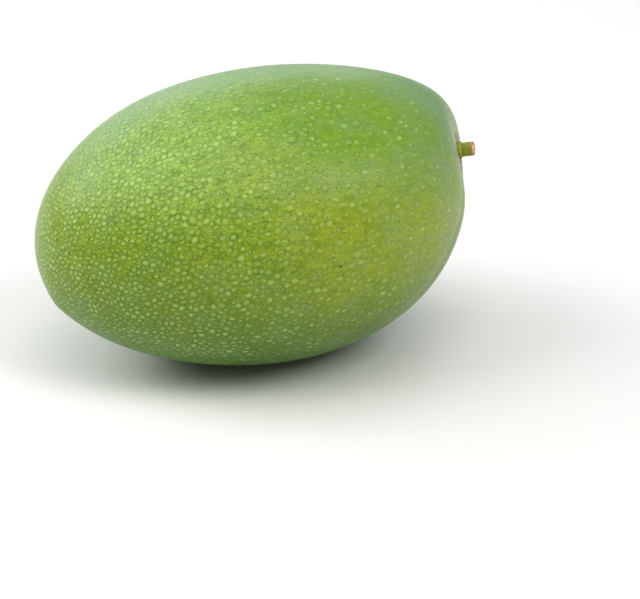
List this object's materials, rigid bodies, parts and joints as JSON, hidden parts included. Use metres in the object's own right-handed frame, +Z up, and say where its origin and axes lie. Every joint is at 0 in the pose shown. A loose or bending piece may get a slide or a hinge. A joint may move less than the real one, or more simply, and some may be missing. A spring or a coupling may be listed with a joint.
{
  "type": "mango",
  "caption": "Whole green mango lying on its cheek: an oblique ovoid with a blunt shoulder, a shallow hollow and a short cut stub of stalk at the stem end.",
  "frame": {"origin": "on the surface that the fruit rests on, under the middle of its box", "axes": "+X along the fruit towards the stem, +Z up, -Y the side that the stub of stalk leans to"},
  "size_m": [0.1342, 0.097, 0.0855],
  "materials": {
    "skin": "satin",
    "stalk": "matte"
  },
  "bodies": {
    "root": {"fruit": "skin", "stem": "stalk"}
  },
  "joints": []
}
